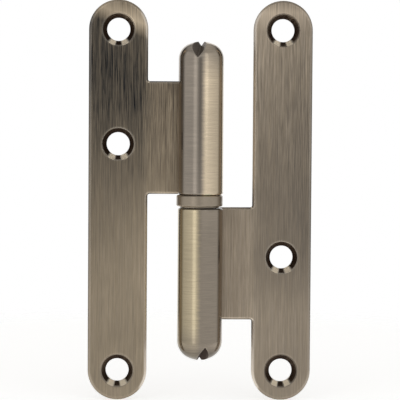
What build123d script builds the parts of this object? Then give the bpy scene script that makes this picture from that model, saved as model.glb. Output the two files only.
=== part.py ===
from build123d import *
import os
from math import asin, degrees, radians, sqrt, tan

# Lift-off hinge, drawn open flat as it hangs on a door: the pin stands along +Z,
# the door's leaf lies to -X and the frame's leaf to +X, screw heads facing -Y.
# The origin is on the pin's axis at the hinge's mid-height. Millimetres.

# Leaves
LEAF_HEIGHT = 95.0
LEAF_WIDTH = 14.0
OPEN_WIDTH = 53.0
SHEET = 2.3
FRONT_EDGE_CHAMFER = 0.5
BACK_EDGE_CHAMFER = 0.3

# Neck, the strip of sheet from the leaf to its knuckle
NECK_HEIGHT = 26.7
NECK_CORNER_RADIUS = 0.5

# Countersunk screw holes
SCREW_HOLE_DIA = 5.5
COUNTERSINK_DIA = 8.0
COUNTERSINK_ANGLE = 90.0
MIDDLE_HOLE_HEIGHT = 13.4

# Pin, and the knuckle rolled round it
PIN_DIA = 6.0
PIN_RUNNING_CLEARANCE = 0.05
PIN_END_GAP = 3.0
PIN_END_CHAMFER = 0.8
KNUCKLE_LENGTH = 36.0
BORE_END_RADIUS = 1.0
ROLL_SEAM = 0.25

# Swaged dome that closes each knuckle, the door's a little flatter than the frame's.
# The crown's radius exceeds the knuckle's by the flattening, and the shoulder
# bends about a ring of the stated radius.
DOOR_CROWN_FLATTENING = 2.2
DOOR_SHOULDER_RING = 1.5
FRAME_CROWN_FLATTENING = 0.9
FRAME_SHOULDER_RING = 1.0

# V-shaped fold left across the dome: shallow at the tip, it falls and opens
# towards the front and the back.
FOLD_FALL = 28.5
FOLD_TIP_ANGLE = 72.0
FOLD_MOUTH_ANGLE = 90.0
DOOR_FOLD_DEPTH = 1.0
DOOR_FOLD_TWIST = 10.5
FRAME_FOLD_DEPTH = 0.7
FRAME_FOLD_TWIST = 13.5

# Thrust washer between the knuckles, loose on the pin and drifted towards -X.
# It stands on a narrower boss, which leaves a fine gap under its rim.
WASHER_THICKNESS = 2.6
WASHER_LIP = 0.15
WASHER_EDGE_CHAMFER = 0.25
WASHER_BOSS_DIA = 9.2
WASHER_BOSS_HEIGHT = 0.32
WASHER_BORE_CLEARANCE = 0.3
WASHER_NEAR_GAP = 0.1
WASHER_GAP_ABOVE = 0.12
WASHER_GAP_BELOW = 0.1

# Sizes that follow from those above
BORE_RADIUS = PIN_DIA / 2
KNUCKLE_RADIUS = BORE_RADIUS + SHEET
WASHER_RIM_GAP = WASHER_GAP_BELOW + WASHER_BOSS_HEIGHT
KNUCKLE_OPEN_END = (WASHER_RIM_GAP + WASHER_THICKNESS + WASHER_GAP_ABOVE) / 2
DOME_TIP = KNUCKLE_OPEN_END + KNUCKLE_LENGTH
LEAF_CENTRE = OPEN_WIDTH / 2 - LEAF_WIDTH / 2
END_HOLE_HEIGHT = LEAF_HEIGHT / 2 - LEAF_WIDTH / 2

# Ways to set a solid against its starting point
ON_BASE = (Align.CENTER, Align.CENTER, Align.MIN)
BELOW_TOP = (Align.CENTER, Align.CENTER, Align.MAX)


def dome_base(flattening, ring):
    """Height at which a knuckle's straight wall ends and its dome begins."""
    centres_apart = sqrt((flattening + ring) ** 2 - ring**2)
    return DOME_TIP - (KNUCKLE_RADIUS + flattening) + centres_apart


def domed_cylinder(flattening, ring):
    """Knuckle as if it were solid: a cylinder, its shoulder and its crown."""
    base = dome_base(flattening, ring)
    crown = KNUCKLE_RADIUS + flattening
    shoulder_turn = 90 - degrees(asin(ring / (flattening + ring)))
    outline = [
        Line((0, KNUCKLE_OPEN_END), (KNUCKLE_RADIUS, KNUCKLE_OPEN_END)),
        Line((KNUCKLE_RADIUS, KNUCKLE_OPEN_END), (KNUCKLE_RADIUS, base)),
        CenterArc((ring, base), KNUCKLE_RADIUS - ring, 0, shoulder_turn),
        CenterArc((0, DOME_TIP - crown), crown, shoulder_turn, 90 - shoulder_turn),
        Line((0, DOME_TIP), (0, KNUCKLE_OPEN_END)),
    ]
    return revolve(Plane.XZ * make_face(outline), Axis.Z)


def blind_bore(flattening, ring):
    """Pin's bore, narrowing to a small flat under the dome's crown."""
    base = dome_base(flattening, ring)
    straight = Cylinder(BORE_RADIUS, base - KNUCKLE_OPEN_END, align=BELOW_TOP)
    narrowing = Cone(BORE_RADIUS, BORE_END_RADIUS, DOME_TIP - SHEET - base, align=ON_BASE)
    return Pos(0, 0, base) * (straight + narrowing)


def dome_fold(depth, twist):
    """Cutter for the V-shaped fold, one run to the front and one to the back.

    It stands clear of the dome, above and outside, by the fold's own depth.
    """
    top = DOME_TIP + depth
    reach = KNUCKLE_RADIUS + depth

    def section(run, angle):
        bottom = DOME_TIP - depth - run * tan(radians(FOLD_FALL))
        half_width = (top - bottom) * tan(radians(angle / 2))
        corners = [(0, bottom), (half_width, top), (-half_width, top)]
        return Plane.XZ.offset(run) * make_face(Polyline(*corners, close=True))

    front = loft([section(0, FOLD_TIP_ANGLE), section(reach, FOLD_MOUTH_ANGLE)], ruled=True)
    return Rot(0, 0, -twist) * (front + Rot(0, 0, 180) * front)


def open_end_rims(shell):
    """Rims of a knuckle's open end, from the bore's to the outer one."""
    return shell.edges().filter_by(GeomType.CIRCLE).group_by(Axis.Z)[0].sort_by(SortBy.RADIUS)


def rolled_knuckle(flattening, ring, fold_depth, fold_twist):
    """Sheet rolled round the pin, its seam behind and its end swaged into a dome."""
    shell = domed_cylinder(flattening, ring) - blind_bore(flattening, ring)
    shell = chamfer(open_end_rims(shell)[-1], BACK_EDGE_CHAMFER)
    shell = chamfer(open_end_rims(shell)[0], FRONT_EDGE_CHAMFER)

    # The roll's square-cut free edge stops one seam short of the neck's front face.
    seam_turn = degrees(asin((BORE_RADIUS - ROLL_SEAM) / KNUCKLE_RADIUS))
    wedge_reach = BORE_RADIUS / tan(radians(seam_turn))
    wedge = Polyline((0, 0), (0, BORE_RADIUS), (-wedge_reach, BORE_RADIUS), close=True)
    shell -= Pos(0, 0, KNUCKLE_OPEN_END) * extrude(make_face(wedge), NECK_HEIGHT)

    # Above the neck the seam is a narrow slit, shut where the dome starts.
    slit_height = dome_base(flattening, ring) - KNUCKLE_OPEN_END
    slit = Box(KNUCKLE_RADIUS + ROLL_SEAM, ROLL_SEAM, slit_height, align=(Align.MAX, Align.MIN, Align.MIN))
    shell -= Pos(0, 0, KNUCKLE_OPEN_END) * Rot(0, 0, -seam_turn) * slit
    return shell - dome_fold(fold_depth, fold_twist)


def flat_leaf():
    """Leaf and neck as punched, the front edges broken more than those behind."""
    neck_middle = KNUCKLE_OPEN_END + NECK_HEIGHT / 2
    blank = Pos(-LEAF_CENTRE, 0) * Rot(0, 0, 90) * SlotOverall(LEAF_HEIGHT, LEAF_WIDTH)
    blank += Pos(-LEAF_CENTRE / 2, neck_middle) * Rectangle(LEAF_CENTRE, NECK_HEIGHT)
    inner_edge_ends = blank.vertices().group_by(Axis.X)[1].sort_by(Axis.Y)
    blank = fillet(inner_edge_ends[1:3], NECK_CORNER_RADIUS)

    # The neck's end, the edge furthest towards +X, goes into the roll and stays square.
    plate = extrude(Plane.XZ.offset(-KNUCKLE_RADIUS) * blank, SHEET)
    front_outline = plate.edges().group_by(Axis.Y)[0].sort_by(Axis.X)[:-1]
    plate = chamfer(front_outline, FRONT_EDGE_CHAMFER)
    back_outline = plate.edges().group_by(Axis.Y)[-1].sort_by(Axis.X)[:-1]
    plate = chamfer(back_outline, BACK_EDGE_CHAMFER)

    hole = CounterSinkHole(SCREW_HOLE_DIA / 2, COUNTERSINK_DIA / 2, 2 * SHEET, COUNTERSINK_ANGLE)
    for height in (END_HOLE_HEIGHT, MIDDLE_HOLE_HEIGHT, -END_HOLE_HEIGHT):
        plate -= Pos(-LEAF_CENTRE, BORE_RADIUS, height) * Rot(90, 0, 0) * hole
    return plate


def door_leaf():
    """Leaf to -X with its knuckle's dome on top."""
    dome = (DOOR_CROWN_FLATTENING, DOOR_SHOULDER_RING)
    return flat_leaf() + rolled_knuckle(*dome, DOOR_FOLD_DEPTH, DOOR_FOLD_TWIST)


def frame_leaf():
    """The same stamping turned over, to +X with the dome at the bottom."""
    dome = (FRAME_CROWN_FLATTENING, FRAME_SHOULDER_RING)
    leaf = flat_leaf() + rolled_knuckle(*dome, FRAME_FOLD_DEPTH, FRAME_FOLD_TWIST)
    return Rot(0, 180, 0) * leaf


def hinge_pin():
    """Pin pressed into the frame's knuckle and turned down to run in the door's."""
    grip_end = dome_base(FRAME_CROWN_FLATTENING, FRAME_SHOULDER_RING) - PIN_END_GAP
    running_end = dome_base(DOOR_CROWN_FLATTENING, DOOR_SHOULDER_RING) - PIN_END_GAP
    grip = Cylinder(BORE_RADIUS, grip_end - KNUCKLE_OPEN_END, align=BELOW_TOP)
    running_radius = BORE_RADIUS - PIN_RUNNING_CLEARANCE
    journal = Cylinder(running_radius, KNUCKLE_OPEN_END + running_end, align=ON_BASE)
    pin = Pos(0, 0, -KNUCKLE_OPEN_END) * (grip + journal)
    rims = pin.edges().filter_by(GeomType.CIRCLE).group_by(Axis.Z)
    return chamfer(rims[0] + rims[-1], PIN_END_CHAMFER)


def thrust_washer():
    """Turned ring between the knuckles, bored through its boss."""
    ring = Cylinder(KNUCKLE_RADIUS + WASHER_LIP, WASHER_THICKNESS, align=ON_BASE)
    ring = chamfer(ring.edges().filter_by(GeomType.CIRCLE), WASHER_EDGE_CHAMFER)
    ring += Cylinder(WASHER_BOSS_DIA / 2, WASHER_BOSS_HEIGHT, align=BELOW_TOP)
    ring -= Cylinder(BORE_RADIUS + WASHER_BORE_CLEARANCE, 2 * (WASHER_BOSS_HEIGHT + WASHER_THICKNESS))
    drift = WASHER_BORE_CLEARANCE - WASHER_NEAR_GAP
    return Pos(-drift, 0, WASHER_RIM_GAP - KNUCKLE_OPEN_END) * ring


os.makedirs("parts", exist_ok=True)
for make_piece in (door_leaf, frame_leaf, hinge_pin, thrust_washer):
    piece = make_piece()
    export_step(piece, f"parts/{make_piece.__name__}.step")
    print(make_piece.__name__, len(piece.solids()), "solid", round(piece.volume, 1), "mm3")
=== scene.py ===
# %% [markdown]
# # A lift-off hinge in brushed antique brass
# The hinge is four rigid pieces: two leaves stamped and rolled from sheet, the pin
# that stands in the frame's knuckle, and the ring that carries the door's weight.
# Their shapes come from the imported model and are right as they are, so this lesson
# only gives them their finishes, and then lights and photographs them.

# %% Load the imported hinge
from math import cos, pi, radians, sin

import bpy
from mathutils import Matrix, Vector


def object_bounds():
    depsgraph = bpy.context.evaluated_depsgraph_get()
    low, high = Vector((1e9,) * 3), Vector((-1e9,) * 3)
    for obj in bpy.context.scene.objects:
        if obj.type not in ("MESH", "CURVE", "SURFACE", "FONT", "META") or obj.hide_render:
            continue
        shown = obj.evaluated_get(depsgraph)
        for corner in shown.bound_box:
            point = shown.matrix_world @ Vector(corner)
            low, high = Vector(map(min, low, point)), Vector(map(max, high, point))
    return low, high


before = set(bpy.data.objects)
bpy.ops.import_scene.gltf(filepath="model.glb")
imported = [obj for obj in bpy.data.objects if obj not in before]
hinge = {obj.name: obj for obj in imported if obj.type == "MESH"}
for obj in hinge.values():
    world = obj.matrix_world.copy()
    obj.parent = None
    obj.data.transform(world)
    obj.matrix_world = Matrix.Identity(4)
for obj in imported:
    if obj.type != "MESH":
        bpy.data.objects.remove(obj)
cad_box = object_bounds()
MM = 0.001
print("pieces:", ", ".join(sorted(hinge)))
print("box in mm:", [[round(v / MM, 2) for v in corner] for corner in cad_box])

# %% [markdown]
# ## Sizes read from the pieces
# A finish follows the form: the brushing runs along the leaves but round the
# knuckles, and it stops where the metal sinks away. So the sizes that it needs are
# measured here on the loaded pieces, and not written down a second time.

# %% Measure the leaf and the knuckle
corners = [v.co for v in hinge["door_leaf"].data.vertices]
knuckle_radius = max(c.x for c in corners)
knuckle_tip = max(c.z for c in corners if c.x > -knuckle_radius)
sheet_front = min(c.y for c in corners if c.x < -2 * knuckle_radius)
leaf_sides = [c.x for c in corners if c.z < 0]
leaf_width = max(leaf_sides) - min(leaf_sides)
leaf_outside = cad_box[1][0]
hinge_foot = cad_box[0][2]
print("knuckle radius and tip in mm:", round(knuckle_radius / MM, 2), round(knuckle_tip / MM, 2))
print("leaf width and front in mm:", round(leaf_width / MM, 2), round(sheet_front / MM, 2))

# %% [markdown]
# ## Small helpers
# Colours are noted as on screen, in sRGB hex, but nodes work in linear light, so one
# function converts them. Every node is added by one other function, which takes the
# node's settings, and for each input either a value or the output it is linked to.

# %% Colour and node helpers
def linear(hex_colour):
    """One sRGB hex colour as the linear RGBA that nodes work in."""
    channels = [int(hex_colour[i:i + 2], 16) / 255 for i in (1, 3, 5)]
    lit = [c / 12.92 if c <= 0.04045 else ((c + 0.055) / 1.055) ** 2.4 for c in channels]
    return (*lit, 1.0)


def grey(level):
    """A neutral linear colour."""
    return (level, level, level, 1.0)


def add(tree, kind, inputs=None, stops=None, **settings):
    """One node with its settings, its inputs set or linked, and a ramp's colour stops."""
    made = tree.nodes.new(kind)
    for name, value in settings.items():
        setattr(made, name, value)
    for name, value in (inputs or {}).items():
        if isinstance(value, bpy.types.NodeSocket):
            tree.links.new(value, made.inputs[name])
        else:
            made.inputs[name].default_value = value
    if stops:
        marks = made.color_ramp.elements
        marks.remove(marks[-1])
        marks[0].position, marks[0].color = min(stops), stops[min(stops)]
        for position in sorted(stops)[1:]:
            marks.new(position).color = stops[position]
    return made


print("brass on screen #b5a642 is", [round(c, 3) for c in linear("#b5a642")], "in linear light")

# %% [markdown]
# ## The finish of the leaves
# Antique brass is brass plate on steel, darkened all over in a chemical bath and then
# relieved: a brush takes the dark coat off again where it can reach. That gives the
# eye a warm, grey-brown metal with fine lines in it, light where it was relieved and
# brown-black where it was not. The brush is led by hand, so it relieves a knuckle most
# on the side away from its neck. The slow changes of brightness up each leaf, lightest
# at its rounded top, are painted light and shade that stand for the studio's reflections,
# with a share of uneven relieving. Photographs of the metal could be wrapped round the
# pieces, but lines drawn from object coordinates stay sharp and need no seams.

# %% What the brush did to each leaf, and the shade painted on it
# The sheet drifts between its two tones. The knuckle's tones are the half relieved and
# the relieved metal, which is on its far side, away from the neck: towards +X for 1 and
# towards -X for -1. The leaf, neck and dome values are painted light and shade, standing
# mostly for the studio's reflections, with some uneven relieving: by share of the
# hinge's height on the leaf and the neck, and as one number on the dome. On the leaf it
# falls off across the width and runs a little aslant. The fold keeps a share of dark
# coat and painted shade.
LEAVES = {
    "door_leaf": {
        "far_side": 1,
        "sheet_tones": ("#a89c8c", "#b09e82"),
        "knuckle_tones": ("#9d9387", "#e2d0b4"),
        "leaf_relief_and_painted_shade": {
            0.0: 0.75, 0.13: 0.95, 0.33: 1.08, 0.5: 0.77,
            0.8: 0.21, 0.93: 0.3, 0.965: 2.0, 1.0: 1.0,
        },
        "fall_across": 0.16,
        "slant": 0.06,
        "neck_relief_and_painted_shade": {0.52: 1.27, 0.8: 0.86},
        "dome_relief_and_painted_shade": 1.2,
        "fold_coat_and_shade": 0.62,
    },
    "frame_leaf": {
        "far_side": -1,
        "sheet_tones": ("#a89d91", "#b09f86"),
        "knuckle_tones": ("#9b9082", "#cdbe9f"),
        "leaf_relief_and_painted_shade": {
            0.0: 0.75, 0.14: 0.98, 0.22: 0.99, 0.37: 0.66,
            0.55: 0.67, 0.92: 1.12, 0.97: 1.78, 1.0: 1.0,
        },
        "fall_across": 0.18,
        "slant": 0.0,
        "neck_relief_and_painted_shade": {0.2: 1.4, 0.48: 1.29},
        "dome_relief_and_painted_shade": 0.45,
        "fold_coat_and_shade": 0.95,
    },
}
for leaf_name, spec in LEAVES.items():
    reliefs = spec["leaf_relief_and_painted_shade"].values()
    print(leaf_name, "relief from", min(reliefs), "to", max(reliefs))

# %% [markdown]
# ## Leaf, neck and knuckle
# One stamping holds all three, but the brush treats each in its own way. They could get
# a material each, with the faces divided between them. Here the distance from the pin's
# axis tells them apart instead, so that one finish can fade into the next.

# %% An empty material, and where a point lies on a leaf
KNUCKLE_BORDER = (0.1 * MM, 0.3 * MM)
NECK_TO_LEAF = (1.8 * knuckle_radius, 2.8 * knuckle_radius)


def empty_material(name):
    """A material with no nodes yet, and its node tree."""
    made = bpy.data.materials.new(name)
    made.use_nodes = True
    made.node_tree.nodes.clear()
    return made, made.node_tree


def knuckle_share(tree, place):
    """1 on the knuckle, near the pin's axis, and 0 out on the leaf."""
    level = add(tree, "ShaderNodeVectorMath", {
        0: place, 1: (1, 1, 0),
    }, operation="MULTIPLY").outputs[0]
    off_axis = add(tree, "ShaderNodeVectorMath", {0: level}, operation="LENGTH").outputs["Value"]
    return add(tree, "ShaderNodeMapRange", {
        "Value": off_axis, "From Min": knuckle_radius + KNUCKLE_BORDER[1],
        "From Max": knuckle_radius + KNUCKLE_BORDER[0],
    }).outputs["Result"]


def leaf_share(tree, place):
    """1 out on the leaf, 0 on its neck."""
    at = add(tree, "ShaderNodeSeparateXYZ", {0: place}).outputs
    out = add(tree, "ShaderNodeMath", {0: at["X"]}, operation="ABSOLUTE").outputs[0]
    return add(tree, "ShaderNodeMapRange", {
        "Value": out, "From Min": NECK_TO_LEAF[0], "From Max": NECK_TO_LEAF[1],
    }, interpolation_type="SMOOTHSTEP").outputs["Result"]


print("neck gives way to leaf", [round(v / MM, 1) for v in NECK_TO_LEAF], "mm from the axis")

# %% [markdown]
# ## The brush's lines
# The leaves go under the brush lengthwise and the knuckles turn against it, so its
# lines run up the leaves and round the knuckles. On the leaves, short strokes lie over
# long ones. Noise that is squeezed across the stroke and drawn out along it gives such
# lines, where a regular wave would look machined.

# %% Lines up the leaf and round the knuckle
# Real lines are some hundredths of a millimetre wide, too fine to show in the render,
# so these are drawn as coarse as they need to show.
LINE_WIDTH = 0.19 * MM
LINE_LENGTH = 5 * MM
LONG_LINE_LENGTH = 22 * MM
LONG_LINE_SHIFT = (7, 3, 11)
TURNED_LINE_WIDTH = 0.2 * MM
TURNED_LINE_LENGTH = 5 * MM
LINE_DETAIL = 3.0
LINE_HARSHNESS = 0.6


def brush_lines(tree, place, on_knuckle):
    """The brush's lines, as three channels that differ."""
    at = add(tree, "ShaderNodeSeparateXYZ", {0: place}).outputs
    forward = add(tree, "ShaderNodeMath", {0: at["Y"], 1: -1.0}, operation="MULTIPLY").outputs[0]
    turn = add(tree, "ShaderNodeMath", {0: at["X"], 1: forward}, operation="ARCTAN2").outputs[0]
    turned = add(tree, "ShaderNodeCombineXYZ", {"X": turn, "Z": at["Z"]}).outputs[0]
    round_knuckle = add(tree, "ShaderNodeVectorMath", {
        0: turned, 1: (knuckle_radius / TURNED_LINE_LENGTH, 0, 1 / TURNED_LINE_WIDTH),
    }, operation="MULTIPLY").outputs[0]
    drawn = []
    for length, shift in ((LINE_LENGTH, (0, 0, 0)), (LONG_LINE_LENGTH, LONG_LINE_SHIFT)):
        up_leaf = add(tree, "ShaderNodeVectorMath", {
            0: place, 1: (1 / LINE_WIDTH, 1 / LINE_WIDTH, 1 / length), 2: shift,
        }, operation="MULTIPLY_ADD").outputs[0]
        along = add(tree, "ShaderNodeMix", {
            0: on_knuckle, 4: up_leaf, 5: round_knuckle,
        }, data_type="VECTOR").outputs[1]
        drawn.append(add(tree, "ShaderNodeTexNoise", {
            "Vector": along, "Scale": 1.0, "Detail": LINE_DETAIL, "Roughness": LINE_HARSHNESS,
        }).outputs["Color"])
    both = add(tree, "ShaderNodeMix", {
        0: 0.5, 6: drawn[0], 7: drawn[1],
    }, data_type="RGBA").outputs[2]
    return add(tree, "ShaderNodeSeparateColor", {0: both}).outputs


print("line width in mm on leaf and knuckle:", LINE_WIDTH / MM, TURNED_LINE_WIDTH / MM)

# %% [markdown]
# ## How far the brush relieved each place, and painted shade
# The slow changes of brightness up and across a leaf, on its neck and on its dome are
# painted light and shade, standing mostly for what the studio reflects in the metal,
# with a share for a hand that presses harder in one place than in another. They could be
# painted by hand, but a ramp over the height says the same in a few numbers, which are
# easy to change.

# %% Relief and painted shade of the leaf, the neck and the dome
FALL_LEVELS = (0.2, 0.4)
DOME_LEAN = (0.15, 0.6)


def relief(tree, place, on_knuckle, spec):
    """Painted light and shade with some uneven relieving: by height on the sheet, by lean on the
    dome.
    """
    at = add(tree, "ShaderNodeSeparateXYZ", {0: place}).outputs
    level = add(tree, "ShaderNodeMapRange", {
        "Value": at["Z"], "From Min": hinge_foot, "From Max": -hinge_foot,
    }).outputs["Result"]
    out = add(tree, "ShaderNodeMath", {0: at["X"]}, operation="ABSOLUTE").outputs[0]
    outward = add(tree, "ShaderNodeMapRange", {
        "Value": out, "From Min": leaf_outside - leaf_width, "From Max": leaf_outside,
        "To Min": -0.5, "To Max": 0.5,
    }).outputs["Result"]
    slanted = add(tree, "ShaderNodeMath", {
        0: outward, 1: -spec["slant"], 2: level,
    }, operation="MULTIPLY_ADD").outputs[0]
    up_leaf, up_neck = [
        add(tree, "ShaderNodeValToRGB", {0: height}, stops={
            share: grey(tone) for share, tone in spec[stretch].items()
        }).outputs[0]
        for height, stretch in ((slanted, "leaf_relief_and_painted_shade"), (level, "neck_relief_and_painted_shade"))
    ]
    fall = add(tree, "ShaderNodeMapRange", {
        "Value": level, "From Min": FALL_LEVELS[0], "From Max": FALL_LEVELS[1],
        "To Max": -2 * spec["fall_across"],
    }).outputs["Result"]
    across = add(tree, "ShaderNodeMath", {
        0: outward, 1: fall, 2: 1.0,
    }, operation="MULTIPLY_ADD").outputs[0]
    leaf = add(tree, "ShaderNodeMath", {0: up_leaf, 1: across}, operation="MULTIPLY").outputs[0]
    sheet = add(tree, "ShaderNodeMix", {
        0: leaf_share(tree, place), 2: up_neck, 3: leaf,
    }).outputs[0]
    facing = add(tree, "ShaderNodeTexCoord").outputs["Normal"]
    toward = add(tree, "ShaderNodeSeparateXYZ", {0: facing}).outputs
    lean = add(tree, "ShaderNodeMath", {0: toward["Z"]}, operation="ABSOLUTE").outputs[0]
    knuckle = add(tree, "ShaderNodeMapRange", {
        "Value": lean, "From Min": DOME_LEAN[0], "From Max": DOME_LEAN[1],
        "To Min": 1.0, "To Max": spec["dome_relief_and_painted_shade"],
    }).outputs["Result"]
    return add(tree, "ShaderNodeMix", {0: on_knuckle, 2: sheet, 3: knuckle}).outputs[0]


print("the relief falls off outwards above", FALL_LEVELS, "of the height")

# %% [markdown]
# ## The knuckle's two sides
# The neck shields the side of the knuckle that it joins, so only the far side is fully
# relieved, and less of it towards the dome. The border between the two could be a clean
# line, but the noise of the lines shifts it to and fro, as a hand would leave it.

# %% Half relieved and relieved
NOISE_MIDDLE = 0.5
FAR_START = 0.45 * MM
FAR_BLEND = 0.7 * MM
RAGGED = 1.2 * MM
FAR_FADE = (0.35 * knuckle_radius, 0.8 * knuckle_radius)
FAR_TONES = (1.17, 0.8)
DOME_FADE = (9 * MM, 3 * MM)
LEFT_AT_DOME = 0.25


def knuckle_colour(tree, place, lines, spec):
    """Half relieved beside the neck, relieved on the far side, and less so near the dome."""
    at = add(tree, "ShaderNodeSeparateXYZ", {0: place}).outputs
    side = add(tree, "ShaderNodeMath", {
        0: at["X"], 1: spec["far_side"],
    }, operation="MULTIPLY").outputs[0]
    uneven = add(tree, "ShaderNodeMath", {
        0: lines["Blue"], 1: NOISE_MIDDLE,
    }, operation="SUBTRACT").outputs[0]
    ragged = add(tree, "ShaderNodeMath", {
        0: uneven, 1: RAGGED, 2: side,
    }, operation="MULTIPLY_ADD").outputs[0]
    reached = add(tree, "ShaderNodeMapRange", {
        "Value": ragged, "From Min": FAR_START - FAR_BLEND, "From Max": FAR_START + FAR_BLEND,
    }, interpolation_type="SMOOTHSTEP").outputs["Result"]
    height = add(tree, "ShaderNodeMath", {0: at["Z"]}, operation="ABSOLUTE").outputs[0]
    below_dome = add(tree, "ShaderNodeMapRange", {
        "Value": height, "From Min": knuckle_tip - DOME_FADE[0],
        "From Max": knuckle_tip - DOME_FADE[1], "To Min": 1.0, "To Max": LEFT_AT_DOME,
    }).outputs["Result"]
    relieved = add(tree, "ShaderNodeMath", {
        0: reached, 1: below_dome,
    }, operation="MULTIPLY").outputs[0]
    half, full = [linear(tone) for tone in spec["knuckle_tones"]]
    plain = add(tree, "ShaderNodeMix", {
        0: relieved, 6: half, 7: full,
    }, data_type="RGBA").outputs[2]
    fade = add(tree, "ShaderNodeMapRange", {
        "Value": side, "From Min": FAR_FADE[0], "From Max": FAR_FADE[1],
        "To Min": FAR_TONES[0], "To Max": FAR_TONES[1],
    }).outputs["Result"]
    return add(tree, "ShaderNodeVectorMath", {
        0: plain, "Scale": fade,
    }, operation="SCALE").outputs[0]


print("relief fades over the last", DOME_FADE[0] / MM, "mm of a knuckle")

# %% [markdown]
# ## Brushed metal
# Tones, relief with its painted shade, and lines come together here. The lines stand out
# most high up on the leaves and least on the smooth knuckles. Only darkening the metal
# would turn the darkest places of the painted shade black, so the thin coat that is left
# on them adds a grey of its own.

# %% Tones, relief with painted shade, and lines together
LOWER_LINES = 1.45
UPPER_LINES = 3.1
UPPER_FROM = 0.45
NECK_LINES = 1.75
TURNED_LINES = 0.6
PATCH_SIZE = 14 * MM
PATCH_TONES = (0.85, 1.15)
# The thin coat's grey shows where the painted shade is darkest.
THIN_COAT = "#403f3e"


def line_strength(tree, place, on_knuckle):
    """How strongly the lines show: most high up on the sheet, least on the knuckle."""
    at = add(tree, "ShaderNodeSeparateXYZ", {0: place}).outputs
    by_height = add(tree, "ShaderNodeMapRange", {
        "Value": at["Z"], "From Min": 0.0, "From Max": -UPPER_FROM * hinge_foot,
        "To Min": LOWER_LINES, "To Max": UPPER_LINES,
    }).outputs["Result"]
    by_stretch = add(tree, "ShaderNodeMapRange", {
        "Value": leaf_share(tree, place), "To Min": NECK_LINES, "To Max": 1.0,
    }).outputs["Result"]
    sheet = add(tree, "ShaderNodeMath", {
        0: by_height, 1: by_stretch,
    }, operation="MULTIPLY").outputs[0]
    return add(tree, "ShaderNodeMix", {0: on_knuckle, 2: sheet, 3: TURNED_LINES}).outputs[0]


def brushed_metal(tree, place, on_knuckle, lines, line, painted_shade_and_relief, spec):
    """The metal's own tones under the painted shade, and a thin coat where that is darkest."""
    cool, warm = [linear(tone) for tone in spec["sheet_tones"]]
    sheet = add(tree, "ShaderNodeMix", {
        0: lines["Green"], 6: cool, 7: warm,
    }, data_type="RGBA").outputs[2]
    plain = add(tree, "ShaderNodeMix", {
        0: on_knuckle, 6: sheet, 7: knuckle_colour(tree, place, lines, spec),
    }, data_type="RGBA").outputs[2]
    shade = add(tree, "ShaderNodeMath", {
        0: line, 1: line_strength(tree, place, on_knuckle), 2: painted_shade_and_relief,
    }, operation="MULTIPLY_ADD").outputs[0]
    patches = add(tree, "ShaderNodeTexNoise", {
        "Vector": place, "Scale": 1 / PATCH_SIZE,
    }).outputs[0]
    patch = add(tree, "ShaderNodeMapRange", {
        "Value": patches, "To Min": PATCH_TONES[0], "To Max": PATCH_TONES[1],
    }).outputs["Result"]
    tone = add(tree, "ShaderNodeMath", {0: shade, 1: patch}, operation="MULTIPLY").outputs[0]
    bright = add(tree, "ShaderNodeVectorMath", {
        0: plain, "Scale": tone,
    }, operation="SCALE").outputs[0]
    left = add(tree, "ShaderNodeMath", {
        0: 1.0, 1: tone,
    }, operation="SUBTRACT", use_clamp=True).outputs[0]
    return add(tree, "ShaderNodeVectorMath", {
        0: linear(THIN_COAT)[:3], 1: left, 2: bright,
    }, operation="MULTIPLY_ADD").outputs[0]


print("patches of", PATCH_SIZE / MM, "mm vary by", PATCH_TONES)

# %% [markdown]
# ## Recesses
# The brush can't get into the countersinks, the domes' folds and the corners, so they
# keep the dark coat, and their darkening is also painted shade, most of all in the
# countersinks and beside the knuckles. A painted highlight lies on the lower lip of each
# countersink, drawn as metal that the brush bit bare. Masks for this could be painted by
# hand. Here, ambient occlusion tells how little a point sees of its surroundings, so the
# coat and the shade find the recesses by themselves.

# %% Recesses with coat and painted shade, and lips with a painted highlight
RECESS_REACH = 8 * MM
RECESS_OPENNESS = (0.97, 0.91)
RECESS_SAMPLES = 16
LIP_UP = (0.5, 0.58)
LIP_ASIDE = (0.1, 0.18)


def recess(tree):
    """1 in the recesses, which keep the dark coat and get painted shade, 0 on open faces."""
    openness = add(tree, "ShaderNodeAmbientOcclusion", {
        "Distance": RECESS_REACH,
    }, samples=RECESS_SAMPLES, only_local=True).outputs["AO"]
    return add(tree, "ShaderNodeMapRange", {
        "Value": openness, "From Min": RECESS_OPENNESS[0], "From Max": RECESS_OPENNESS[1],
    }, interpolation_type="SMOOTHSTEP").outputs["Result"]


def painted_lip_share(tree):
    """1 on what faces up and a little aside, as a countersink's lower lip does, for its painted
    highlight.
    """
    facing = add(tree, "ShaderNodeTexCoord").outputs["Normal"]
    toward = add(tree, "ShaderNodeSeparateXYZ", {0: facing}).outputs
    up = add(tree, "ShaderNodeMapRange", {
        "Value": toward["Z"], "From Min": LIP_UP[0], "From Max": LIP_UP[1],
    }).outputs["Result"]
    turned = add(tree, "ShaderNodeMath", {0: toward["X"]}, operation="ABSOLUTE").outputs[0]
    aside = add(tree, "ShaderNodeMapRange", {
        "Value": turned, "From Min": LIP_ASIDE[0], "From Max": LIP_ASIDE[1],
    }).outputs["Result"]
    return add(tree, "ShaderNodeMath", {0: up, 1: aside}, operation="MULTIPLY").outputs[0]


print("recesses are felt over", RECESS_REACH / MM, "mm")

# %% Countersinks, folds and corners
SUNK = (0.02 * MM, 0.06 * MM)
RIM_WIDTH = 0.25 * MM
RIM_END = 1.2 * RIM_WIDTH
# The countersink's rim is pale, as wear with a painted highlight.
RIM_WEAR_AND_HIGHLIGHT = 0.35
# Painted shade with a little coat in plain corners, such as beside the knuckles.
CORNER_COAT_AND_SHADE = 0.28
FOLD_BELOW_TIP = (knuckle_radius, 0.8 * knuckle_radius)


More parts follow.
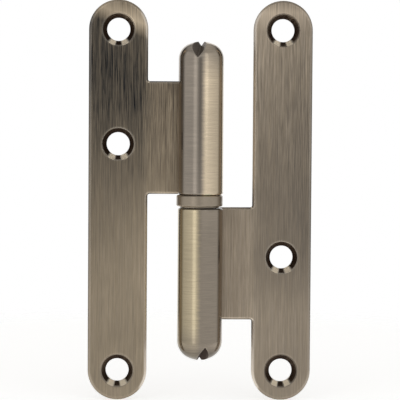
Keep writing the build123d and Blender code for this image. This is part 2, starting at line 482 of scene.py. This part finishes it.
def countersink(tree, place, recess_coat_and_shade, on_knuckle):
    """Shares of dark wall, coat with painted shade, and of pale metal, the rim and the lower lip
    with a painted highlight, in the screw holes.
    """
    at = add(tree, "ShaderNodeSeparateXYZ", {0: place}).outputs
    sunk, deep = [
        add(tree, "ShaderNodeMapRange", {
            "Value": at["Y"], "From Min": sheet_front + start, "From Max": sheet_front + end,
        }).outputs["Result"]
        for start, end in (SUNK, (RIM_WIDTH, RIM_END))
    ]
    on_leaf = add(tree, "ShaderNodeMath", {
        0: sunk, 1: on_knuckle,
    }, operation="SUBTRACT", use_clamp=True).outputs[0]
    wall = add(tree, "ShaderNodeMath", {0: recess_coat_and_shade, 1: on_leaf}, operation="MULTIPLY").outputs[0]
    lip_highlit = painted_lip_share(tree)
    deep_without_lip = add(tree, "ShaderNodeMath", {
        0: deep, 1: lip_highlit,
    }, operation="SUBTRACT", use_clamp=True).outputs[0]
    dark = add(tree, "ShaderNodeMath", {0: wall, 1: deep_without_lip}, operation="MULTIPLY").outputs[0]
    rim = add(tree, "ShaderNodeMapRange", {
        "Value": deep, "To Min": RIM_WEAR_AND_HIGHLIGHT, "To Max": 0.0,
    }).outputs["Result"]
    worn_and_highlit = add(tree, "ShaderNodeMath", {0: rim, 1: lip_highlit}, operation="MAXIMUM").outputs[0]
    bare_and_highlit = add(tree, "ShaderNodeMath", {0: wall, 1: worn_and_highlit}, operation="MULTIPLY").outputs[0]
    return dark, bare_and_highlit


def folds_and_corners(tree, place, recess_coat_and_shade, spec):
    """Share of dark coat and painted shade in the dome's fold, and a little of both in plain
    corners.
    """
    at = add(tree, "ShaderNodeSeparateXYZ", {0: place}).outputs
    height = add(tree, "ShaderNodeMath", {0: at["Z"]}, operation="ABSOLUTE").outputs[0]
    most = add(tree, "ShaderNodeMapRange", {
        "Value": height, "From Min": knuckle_tip - FOLD_BELOW_TIP[0],
        "From Max": knuckle_tip - FOLD_BELOW_TIP[1],
        "To Min": CORNER_COAT_AND_SHADE, "To Max": spec["fold_coat_and_shade"],
    }).outputs["Result"]
    return add(tree, "ShaderNodeMath", {0: recess_coat_and_shade, 1: most}, operation="MULTIPLY").outputs[0]


print("a countersink's pale rim is", RIM_WIDTH / MM, "mm deep")

# %% [markdown]
# ## Worn edges, with a painted highlight
# A brush bites hardest on an edge, and a rounded edge catches the light, so the side
# edges of the leaves are drawn pale, as wear with a painted highlight, most of all towards
# the barrel. Real edges are rounded, where the model has chamfers. A finer mesh could round
# them, but a Bevel node rounds them to the eye and leaves the mesh alone, and its normal
# also tells which way an edge faces.

# %% Edges by the way they face
EDGE_ROUNDING = 0.5 * MM
EDGE_SAMPLES = 6
EDGE_AGREEMENT = (0.999, 0.93)
SIDE_BORDER = (2 * MM, 1.5 * MM)
FACING_FRONT = (-0.1, -0.4)
FACING_ASIDE = (0.15, 0.5)
WELL_BRUSHED = (0.3, 0.9)
# Edge wear with a painted highlight, on the outer and the inner sides.
OUTER_WEAR_AND_HIGHLIGHT = 0.12
INNER_WEAR_AND_HIGHLIGHT = 0.6


def edge_share(tree, rounded):
    """1 at an outer edge, where the rounded normal leaves the flat one, and 0 on the faces."""
    flat = add(tree, "ShaderNodeNewGeometry").outputs["Normal"]
    agree = add(tree, "ShaderNodeVectorMath", {
        0: rounded, 1: flat,
    }, operation="DOT_PRODUCT").outputs["Value"]
    return add(tree, "ShaderNodeMapRange", {
        "Value": agree, "From Min": EDGE_AGREEMENT[0], "From Max": EDGE_AGREEMENT[1],
    }).outputs["Result"]


def side_edge(tree, place, on_knuckle, rounded, painted_shade_and_relief, spec):
    """Wear and a painted highlight on the front edges down a leaf's sides, most towards the barrel.
    """
    at = add(tree, "ShaderNodeSeparateXYZ", {0: place}).outputs
    out = add(tree, "ShaderNodeMath", {0: at["X"]}, operation="ABSOLUTE").outputs[0]
    off_middle = add(tree, "ShaderNodeMath", {
        0: out, 1: leaf_outside - leaf_width / 2,
    }, operation="SUBTRACT").outputs[0]
    from_middle = add(tree, "ShaderNodeMath", {0: off_middle}, operation="ABSOLUTE").outputs[0]
    border = add(tree, "ShaderNodeMapRange", {
        "Value": from_middle, "From Min": leaf_width / 2 - SIDE_BORDER[0],
        "From Max": leaf_width / 2 - SIDE_BORDER[1],
    }).outputs["Result"]
    on_leaf = add(tree, "ShaderNodeMath", {
        0: border, 1: on_knuckle,
    }, operation="SUBTRACT", use_clamp=True).outputs[0]

    # The normal is read in the leaf's own frame, so that the wear stays put when it swings.
    facing = add(tree, "ShaderNodeVectorTransform", {
        0: rounded,
    }, vector_type="NORMAL", convert_from="WORLD", convert_to="OBJECT").outputs[0]
    toward = add(tree, "ShaderNodeSeparateXYZ", {0: facing}).outputs
    front = add(tree, "ShaderNodeMapRange", {
        "Value": toward["Y"], "From Min": FACING_FRONT[0], "From Max": FACING_FRONT[1],
    }).outputs["Result"]
    inward = add(tree, "ShaderNodeMath", {
        0: toward["X"], 1: spec["far_side"],
    }, operation="MULTIPLY").outputs[0]
    inner, outer = [
        add(tree, "ShaderNodeMapRange", {
            "Value": inward, "From Min": sign * FACING_ASIDE[0], "From Max": sign * FACING_ASIDE[1],
            "To Max": wear,
        }).outputs["Result"]
        for sign, wear in ((1, INNER_WEAR_AND_HIGHLIGHT), (-1, OUTER_WEAR_AND_HIGHLIGHT))
    ]
    brushed = add(tree, "ShaderNodeMapRange", {
        "Value": painted_shade_and_relief, "From Min": WELL_BRUSHED[0], "From Max": WELL_BRUSHED[1],
    }).outputs["Result"]
    side = add(tree, "ShaderNodeMath", {
        0: inner, 1: brushed, 2: outer,
    }, operation="MULTIPLY_ADD").outputs[0]
    shown = add(tree, "ShaderNodeMath", {0: side, 1: front}, operation="MULTIPLY").outputs[0]
    return add(tree, "ShaderNodeMath", {0: shown, 1: on_leaf}, operation="MULTIPLY").outputs[0]


print("edges are rounded to the eye by", EDGE_ROUNDING / MM, "mm")

# %% [markdown]
# ## Antique brass, put together
# The layers go on in the order in which the real ones show: brushed metal with its painted
# shade, pale edges and lips with a painted highlight, and the dark coat that is left, with
# painted shade in the recesses. A separate material for each of them would need the faces
# divided, while one material with masks can fade from one to the next.

# %% Colour of the plate: edges and lips with painted highlights, dark coat and painted shade, over the brushed metal
# Pale edges: wear with a painted highlight.
END_WEAR_AND_HIGHLIGHT = 0.09
WORN_EDGE_AND_HIGHLIGHT = "#fff5e8"
# A painted highlight on the countersinks' rims and lower lips.
PAINTED_LIP_HIGHLIGHT = "#fff7e8"
# Dark coat, which also stands for painted shade in recesses, folds and corners.
DARK_COAT_AND_SHADE = "#38291f"


def plate_colour(tree, place, on_knuckle, brushed, rounded, painted_shade_and_relief, spec):
    """Colour of the whole finish, and the shares of dark coat with painted shade and of pale metal
    with a painted highlight.
    """
    worn_and_highlit = side_edge(tree, place, on_knuckle, rounded, painted_shade_and_relief, spec)
    edge_wear_and_highlight = add(tree, "ShaderNodeMath", {
        0: edge_share(tree, rounded), 1: END_WEAR_AND_HIGHLIGHT, 2: worn_and_highlit,
    }, operation="MULTIPLY_ADD", use_clamp=True).outputs[0]
    edged = add(tree, "ShaderNodeMix", {
        0: edge_wear_and_highlight, 6: brushed, 7: linear(WORN_EDGE_AND_HIGHLIGHT),
    }, data_type="RGBA").outputs[2]
    # Recesses get the dark coat together with painted shade.
    recess_coat_and_shade = recess(tree)
    dark, bare_and_highlit = countersink(tree, place, recess_coat_and_shade, on_knuckle)
    lipped = add(tree, "ShaderNodeMix", {
        0: bare_and_highlit, 6: edged, 7: linear(PAINTED_LIP_HIGHLIGHT),
    }, data_type="RGBA").outputs[2]
    folded = folds_and_corners(tree, place, recess_coat_and_shade, spec)
    spared = add(tree, "ShaderNodeMath", {
        0: folded, 1: worn_and_highlit,
    }, operation="SUBTRACT", use_clamp=True).outputs[0]
    # Share of dark coat and painted shade.
    coat = add(tree, "ShaderNodeMath", {0: dark, 1: spared}, operation="MAXIMUM").outputs[0]
    kept = add(tree, "ShaderNodeMath", {
        0: coat, 1: bare_and_highlit,
    }, operation="SUBTRACT", use_clamp=True).outputs[0]
    colour = add(tree, "ShaderNodeMix", {
        0: kept, 6: lipped, 7: linear(DARK_COAT_AND_SHADE),
    }, data_type="RGBA").outputs[2]
    return colour, coat, bare_and_highlit


# The dark coat also carries painted shade, and the lip colour is a painted highlight.
print("dark coat", DARK_COAT_AND_SHADE, "bare lip", PAINTED_LIP_HIGHLIGHT)

# %% [markdown]
# ## Gloss
# Metal has no colour but that of what it reflects, so its gloss decides how sharp the
# studio shows in it. Lines can smear a reflection with anisotropy, but that needs a
# direction at each point, so here the lines are a shallow bump with uneven roughness.

# %% Antique brass on both leaves
# Brushed sheet gives the eye a soft sheen, and the knuckle, smoother from its turning,
# a sharper one. The coat is dull, and the lip with its painted highlight is quite matt.
SHEET_ROUGHNESS = 0.3
KNUCKLE_ROUGHNESS = 0.16
COAT_ROUGHNESS = 0.6
BARE_ROUGHNESS = 0.95
LINE_GLOSS = -0.06
LINE_DEPTH = 0.01 * MM


def antique_brass(name, spec):
    """Darkened and brushed plate for one leaf and its knuckle."""
    made, tree = empty_material(name)
    place = add(tree, "ShaderNodeTexCoord").outputs["Object"]
    on_knuckle = knuckle_share(tree, place)
    lines = brush_lines(tree, place, on_knuckle)
    line = add(tree, "ShaderNodeMath", {
        0: lines["Red"], 1: NOISE_MIDDLE,
    }, operation="SUBTRACT").outputs[0]
    # Painted light and shade up the leaves and on the dome, with some uneven relieving.
    painted_shade_and_relief = relief(tree, place, on_knuckle, spec)
    brushed = brushed_metal(tree, place, on_knuckle, lines, line, painted_shade_and_relief, spec)
    rounded = add(tree, "ShaderNodeBevel", {
        "Radius": EDGE_ROUNDING,
    }, samples=EDGE_SAMPLES).outputs[0]
    colour, coat, bare_and_highlit = plate_colour(tree, place, on_knuckle, brushed, rounded, painted_shade_and_relief, spec)

    # Gloss: sharper round the knuckle than on the sheet, and uneven along the lines.
    gloss = add(tree, "ShaderNodeMapRange", {
        "Value": on_knuckle, "To Min": SHEET_ROUGHNESS, "To Max": KNUCKLE_ROUGHNESS,
    }).outputs["Result"]
    along = add(tree, "ShaderNodeMath", {
        0: line, 1: LINE_GLOSS, 2: gloss,
    }, operation="MULTIPLY_ADD").outputs[0]
    coated = add(tree, "ShaderNodeMix", {0: coat, 2: along, 3: COAT_ROUGHNESS}).outputs[0]
    roughness = add(tree, "ShaderNodeMix", {0: bare_and_highlit, 2: coated, 3: BARE_ROUGHNESS}).outputs[0]
    scratched = add(tree, "ShaderNodeBump", {
        "Height": lines["Red"], "Distance": LINE_DEPTH, "Strength": 1.0, "Normal": rounded,
    }).outputs[0]
    metal = add(tree, "ShaderNodeBsdfPrincipled", {
        "Base Color": colour, "Metallic": 1.0, "Roughness": roughness, "Normal": scratched,
    }).outputs[0]
    add(tree, "ShaderNodeOutputMaterial", {"Surface": metal})
    return made


for leaf_name, spec in LEAVES.items():
    hinge[leaf_name].data.materials[0] = antique_brass("antique_brass_" + leaf_name, spec)
    print(leaf_name, "finished:", hinge[leaf_name].data.materials[0].name)

# %% [markdown]
# ## The thrust washer
# The ring between the knuckles is turned steel with the same plate, but left satin: it
# was tumbled and not brushed. Brush lines could be kept and made fainter, but tumbling
# leaves none, so an even grain without direction is drawn instead.

# %% Satin plate on the washer
# Tumbled plate gives the eye an even, soft grey-brown, and pale rims, worn where the
# edges were broken and with a painted highlight along them. Its real grain is too fine
# to show, so it is drawn coarser.
WASHER_PLATE = "#b0a391"
# Pale rims: wear with a painted highlight.
WASHER_RIM_AND_HIGHLIGHT = "#c6bba8"
WASHER_RIM_WEAR_AND_HIGHLIGHT = 0.7
WASHER_ROUGHNESS = 0.32
WASHER_ROUNDING = 0.3 * MM
TUMBLED_GRAIN = 0.35 * MM
GRAIN_DETAIL = 2.0
GRAIN_TONES = (0.86, 1.12)


def satin_plate(name):
    """Tumbled brass plate: an even tone with a faint grain and pale rims with a painted highlight.
    """
    made, tree = empty_material(name)
    place = add(tree, "ShaderNodeTexCoord").outputs["Object"]
    grain = add(tree, "ShaderNodeTexNoise", {
        "Vector": place, "Scale": 1 / TUMBLED_GRAIN, "Detail": GRAIN_DETAIL,
    }).outputs[0]
    tone = add(tree, "ShaderNodeMapRange", {
        "Value": grain, "To Min": GRAIN_TONES[0], "To Max": GRAIN_TONES[1],
    }).outputs["Result"]
    plate = add(tree, "ShaderNodeVectorMath", {
        0: linear(WASHER_PLATE)[:3], "Scale": tone,
    }, operation="SCALE").outputs[0]
    rounded = add(tree, "ShaderNodeBevel", {
        "Radius": WASHER_ROUNDING,
    }, samples=EDGE_SAMPLES).outputs[0]
    rim = add(tree, "ShaderNodeMath", {
        0: edge_share(tree, rounded), 1: WASHER_RIM_WEAR_AND_HIGHLIGHT,
    }, operation="MULTIPLY").outputs[0]
    colour = add(tree, "ShaderNodeMix", {
        0: rim, 6: plate, 7: linear(WASHER_RIM_AND_HIGHLIGHT),
    }, data_type="RGBA").outputs[2]
    metal = add(tree, "ShaderNodeBsdfPrincipled", {
        "Base Color": colour, "Metallic": 1.0, "Roughness": WASHER_ROUGHNESS, "Normal": rounded,
    }).outputs[0]
    add(tree, "ShaderNodeOutputMaterial", {"Surface": metal})
    return made


hinge["thrust_washer"].data.materials[0] = satin_plate("satin_brass_plate")
print("washer finished:", hinge["thrust_washer"].data.materials[0].name)

# %% [markdown]
# ## The pin
# The pin shows only when the door is lifted off. It is bright drawn steel, pulled
# through a die, which leaves fine straight lines along it. An even mirror would be
# simpler, but a film of grease keeps the real one grey, so the lines vary its gloss.

# %% Drawn steel on the pin
# Drawn steel gives the eye a cool grey with straight, brighter streaks. The real streaks
# are too fine to show, so they are drawn coarser.
DRAWN_STEEL = "#c2c0bb"
DRAWN_LINE_WIDTH = 0.25 * MM
DRAWN_LINE_LENGTH = 25 * MM
DRAWN_DETAIL = 2.0
DRAWN_TONES = (0.75, 1.1)
DRAWN_ROUGHNESS = (0.36, 0.22)


def drawn_steel(name):
    """Bright steel bar with the die's straight lines along it."""
    made, tree = empty_material(name)
    place = add(tree, "ShaderNodeTexCoord").outputs["Object"]
    along = add(tree, "ShaderNodeVectorMath", {
        0: place, 1: (1 / DRAWN_LINE_WIDTH, 1 / DRAWN_LINE_WIDTH, 1 / DRAWN_LINE_LENGTH),
    }, operation="MULTIPLY").outputs[0]
    lines = add(tree, "ShaderNodeTexNoise", {
        "Vector": along, "Scale": 1.0, "Detail": DRAWN_DETAIL,
    }).outputs[0]
    tone, roughness = [
        add(tree, "ShaderNodeMapRange", {
            "Value": lines, "To Min": least, "To Max": most,
        }).outputs["Result"]
        for least, most in (DRAWN_TONES, DRAWN_ROUGHNESS)
    ]
    colour = add(tree, "ShaderNodeVectorMath", {
        0: linear(DRAWN_STEEL)[:3], "Scale": tone,
    }, operation="SCALE").outputs[0]
    metal = add(tree, "ShaderNodeBsdfPrincipled", {
        "Base Color": colour, "Metallic": 1.0, "Roughness": roughness,
    }).outputs[0]
    add(tree, "ShaderNodeOutputMaterial", {"Surface": metal})
    return made


hinge["hinge_pin"].data.materials[0] = drawn_steel("drawn_steel")
print("pin finished:", hinge["hinge_pin"].data.materials[0].name)

# %% [markdown]
# ## The camera
# The hinge is seen almost square from the front, from a little above its middle and
# a little to the door's side. The picture is square, and its scale at the pin is what
# the hinge's 95 mm height takes up in it. The camera is turned a trace on its own
# axis, because the hinge leans that much in the picture.

# %% Place the camera
PICTURE = 400
PIXELS_PER_MM = 4.24
CAMERA_DISTANCE = 450 * MM
CAMERA_AROUND = radians(1.6)
CAMERA_ABOVE = radians(2.35)
CAMERA_ROLL = radians(0.39)
PIN_RIGHT_OF_CENTRE = 0.09 * MM
PIN_BELOW_CENTRE = 0.30 * MM
NEAREST_SEEN = 10 * MM

sight = Vector((
    cos(CAMERA_ABOVE) * sin(CAMERA_AROUND),
    cos(CAMERA_ABOVE) * cos(CAMERA_AROUND),
    -sin(CAMERA_ABOVE),
))
level_right = Vector((cos(CAMERA_AROUND), -sin(CAMERA_AROUND), 0))
level_up = level_right.cross(sight)
picture_right = cos(CAMERA_ROLL) * level_right + sin(CAMERA_ROLL) * level_up
picture_up = cos(CAMERA_ROLL) * level_up - sin(CAMERA_ROLL) * level_right
aim = PIN_BELOW_CENTRE * picture_up - PIN_RIGHT_OF_CENTRE * picture_right
lens_place = aim - CAMERA_DISTANCE * sight

camera = bpy.data.objects.new("camera", bpy.data.cameras.new("camera"))
bpy.context.scene.collection.objects.link(camera)
axes = Matrix((picture_right, picture_up, -sight)).transposed()
camera.matrix_world = Matrix.Translation(lens_place) @ axes.to_4x4()
camera.data.lens = camera.data.sensor_width * PIXELS_PER_MM / MM * CAMERA_DISTANCE / PICTURE
camera.data.clip_start = NEAREST_SEEN
bpy.context.scene.camera = camera
print("lens:", round(camera.data.lens, 1), "mm at", [round(v / MM, 1) for v in lens_place])

# %% [markdown]
# ## The tent
# Metal shows what stands round it, so the studio matters more than the lamps. The
# hinge is in a pale tent, white behind and grey at the sides and overhead, with a dark
# seam beyond the sides, which draws the dark line down each edge of the knuckles. Walls
# could be built for it, but a world that changes with the direction does the same, with
# nothing in the camera's way.

# %% Hang the tent
# Where its cloth changes is noted in degrees from the lens. The white that the camera
# sees all round is the white of the tent's back, which the metal shows too.
TENT_BACK = 1.0
TENT_SEAM = 0.02
TENT_SIDE = 0.62
TENT_ROOF = 0.4
SIDE_ENDS = 98
SEAM_BEGINS = 116
SEAM_ENDS = 141
BACK_BEGINS = 149
HALF_TURN = 180
SEAM_TURN = radians(8)
SEAM_TURN_LEVELS = (-0.09, 0.0)
ROOF_LEVELS = (0.45, 0.75)

tent = bpy.data.worlds.new("tent")
bpy.context.scene.world = tent
tent.use_nodes = True
tree = tent.node_tree
tree.nodes.clear()
looking = add(tree, "ShaderNodeTexCoord").outputs["Generated"]
toward_lens, rightward, upward = [
    add(tree, "ShaderNodeVectorMath", {
        0: looking, 1: direction,
    }, operation="DOT_PRODUCT").outputs["Value"]
    for direction in (-sight, picture_right, (0, 0, 1))
]
from_lens = add(tree, "ShaderNodeMath", {0: toward_lens}, operation="ARCCOSINE").outputs[0]
leftward = add(tree, "ShaderNodeMapRange", {
    "Value": rightward, "From Min": 1.0, "From Max": -1.0, "To Max": SEAM_TURN,
}).outputs["Result"]
raised = add(tree, "ShaderNodeMapRange", {
    "Value": upward, "From Min": SEAM_TURN_LEVELS[0], "From Max": SEAM_TURN_LEVELS[1],
}).outputs["Result"]
placed = add(tree, "ShaderNodeMath", {
    0: leftward, 1: raised, 2: from_lens,
}, operation="MULTIPLY_ADD").outputs[0]
share = add(tree, "ShaderNodeMath", {0: placed, 1: pi}, operation="DIVIDE").outputs[0]
walls = add(tree, "ShaderNodeValToRGB", {0: share}, stops={
    SIDE_ENDS / HALF_TURN: grey(TENT_SIDE), SEAM_BEGINS / HALF_TURN: grey(TENT_SEAM),
    SEAM_ENDS / HALF_TURN: grey(TENT_SEAM), BACK_BEGINS / HALF_TURN: grey(TENT_BACK),
}).outputs[0]
overhead = add(tree, "ShaderNodeMapRange", {
    "Value": upward, "From Min": ROOF_LEVELS[0], "From Max": ROOF_LEVELS[1],
}, interpolation_type="SMOOTHSTEP").outputs["Result"]
cloth = add(tree, "ShaderNodeMix", {
    0: overhead, 6: walls, 7: grey(TENT_ROOF),
}, data_type="RGBA").outputs[2]
rays = add(tree, "ShaderNodeLightPath").outputs
seen = add(tree, "ShaderNodeMath", {
    0: rays["Is Camera Ray"], 1: rays["Is Transmission Ray"],
}, operation="MAXIMUM").outputs[0]
shown = add(tree, "ShaderNodeMix", {
    0: seen, 6: cloth, 7: grey(TENT_BACK),
}, data_type="RGBA").outputs[2]
glow = add(tree, "ShaderNodeBackground", {"Color": shown, "Strength": 1.0}).outputs[0]
add(tree, "ShaderNodeOutputWorld", {"Surface": glow})
print("tent: back", TENT_BACK, "side", TENT_SIDE, "seam", TENT_SEAM)

# %% [markdown]
# ## The softboxes
# A smooth knuckle shows a lamp as an upright line, and small lamps would give dots, so a
# tall softbox stands on each side of the camera. The left one reaches below the hinge.
# The right one begins higher, so that only the upper knuckle shows it.

# %% Stand up the two softboxes
SOFTBOX_DISTANCE = 500 * MM
SOFTBOX_TOP = 450 * MM
SOFTBOXES = {
    "left": {"angle": radians(-31), "width": 140 * MM, "foot": -170 * MM, "level": 0.32},
    "right": {"angle": radians(27), "width": 150 * MM, "foot": 15 * MM, "level": 0.27},
}

for side_name, box in SOFTBOXES.items():
    lamp = bpy.data.lights.new("softbox_" + side_name, "AREA")
    lamp.shape = "RECTANGLE"
    lamp.size = box["width"]
    lamp.size_y = SOFTBOX_TOP - box["foot"]
    lamp.energy = box["level"] * pi * lamp.size * lamp.size_y
    softbox = bpy.data.objects.new(lamp.name, lamp)
    bpy.context.scene.collection.objects.link(softbox)
    toward = Vector((sin(box["angle"]), -cos(box["angle"]), 0))
    turned = (-toward).to_track_quat("-Z", "Y").to_matrix().to_4x4()
    middle = SOFTBOX_DISTANCE * toward + Vector((0, 0, (SOFTBOX_TOP + box["foot"]) / 2))
    softbox.matrix_world = Matrix.Translation(middle) @ turned
    softbox.visible_camera = False
    print(lamp.name, round(lamp.energy, 3), "W")

# %% [markdown]
# ## The dark card
# A photographer's own dark shape stands in what metal reflects, and here a card round the
# lens stands for it. It makes the line between the two bright ones, and some shade on
# the leaves, which face it. A darker tent would shade all sides of the hinge alike.

# %% Hold the card round the lens
# Black paper that thins out to its rim, so that its reflection has no hard edge.
CARD_COLOUR = "#2b2722"
CARD_RADIUS = 120 * MM
CARD_CORNERS = 64
CARD_COVER = 0.6
CARD_DENSE_WITHIN = 0.3 * CARD_RADIUS
CARD_LEFT_OF_LENS = 30 * MM
CARD_ABOVE_LENS = 35 * MM

bpy.ops.object.select_all(action="DESELECT")
bpy.ops.mesh.primitive_circle_add(vertices=CARD_CORNERS, radius=CARD_RADIUS, fill_type="TRIFAN")
card = bpy.context.active_object
card.name = "dark_card"
card_middle = lens_place - CARD_LEFT_OF_LENS * picture_right + CARD_ABOVE_LENS * picture_up
card.data.transform(Matrix.Translation(card_middle) @ axes.to_4x4())
made, tree = empty_material("dark_card")
place = add(tree, "ShaderNodeTexCoord").outputs["Object"]
out = add(tree, "ShaderNodeVectorMath", {
    0: place, 1: card_middle,
}, operation="DISTANCE").outputs["Value"]
solid = add(tree, "ShaderNodeMapRange", {
    "Value": out, "From Min": CARD_RADIUS, "From Max": CARD_DENSE_WITHIN, "To Max": CARD_COVER,
}).outputs["Result"]
clear = add(tree, "ShaderNodeBsdfTransparent").outputs[0]
dark = add(tree, "ShaderNodeEmission", {"Color": linear(CARD_COLOUR)}).outputs[0]
cover = add(tree, "ShaderNodeMixShader", {0: solid, 1: clear, 2: dark}).outputs[0]
add(tree, "ShaderNodeOutputMaterial", {"Surface": cover})
card.data.materials.append(made)
card.visible_camera = False
card.visible_shadow = False
card.visible_diffuse = False
print("card radius in mm:", round(CARD_RADIUS / MM))

# %% [markdown]
# ## The floor
# A pale disc under the hinge catches its soft shadow. The tent lights it to a light
# grey, so a little light of its own, for the camera and for reflections, brings it up
# to the white of the background, and its rim fades out so that no horizon shows.

# %% Lay the floor
# Matt white paint: it gives the eye a plain, pale ground and nothing else to look at.
FLOOR_RADIUS = 150 * MM
FLOOR_CORNERS = 96
FLOOR_BEHIND = 90 * MM
FLOOR_PAINT = "#f2f1ee"
FLOOR_LIFT = 0.6
FLOOR_FADE = (0.5 * FLOOR_RADIUS, 0.98 * FLOOR_RADIUS)

bpy.ops.object.select_all(action="DESELECT")
bpy.ops.mesh.primitive_circle_add(vertices=FLOOR_CORNERS, radius=FLOOR_RADIUS, fill_type="TRIFAN")
floor = bpy.context.active_object
floor.name = "floor"
floor_middle = Vector((0, FLOOR_BEHIND, hinge_foot))
floor.data.transform(Matrix.Translation(floor_middle))
made, tree = empty_material("pale_floor")
place = add(tree, "ShaderNodeTexCoord").outputs["Object"]
out = add(tree, "ShaderNodeVectorMath", {
    0: place, 1: floor_middle,
}, operation="DISTANCE").outputs["Value"]
fade = add(tree, "ShaderNodeMapRange", {
    "Value": out, "From Min": FLOOR_FADE[0], "From Max": FLOOR_FADE[1],
}, interpolation_type="SMOOTHSTEP").outputs["Result"]
rays = add(tree, "ShaderNodeLightPath").outputs
seen = rays["Is Camera Ray"]
for ray in ("Is Glossy Ray", "Is Transmission Ray"):
    seen = add(tree, "ShaderNodeMath", {0: seen, 1: rays[ray]}, operation="MAXIMUM").outputs[0]
lift = add(tree, "ShaderNodeMath", {0: seen, 1: FLOOR_LIFT}, operation="MULTIPLY").outputs[0]
paint = add(tree, "ShaderNodeBsdfDiffuse", {"Color": linear(FLOOR_PAINT)}).outputs[0]
own = add(tree, "ShaderNodeEmission", {"Strength": lift}).outputs[0]
lit = add(tree, "ShaderNodeAddShader", {0: paint, 1: own}).outputs[0]
clear = add(tree, "ShaderNodeBsdfTransparent").outputs[0]
soft = add(tree, "ShaderNodeMixShader", {0: fade, 1: lit, 2: clear}).outputs[0]
add(tree, "ShaderNodeOutputMaterial", {"Surface": soft})
floor.data.materials.append(made)
print("floor at", round(hinge_foot / MM, 2), "mm")

# %% [markdown]
# ## Finish
# The view is set to Standard, so that a colour shows as it was written.

# %% Set the view and finish
bpy.context.scene.view_settings.view_transform = "Standard"
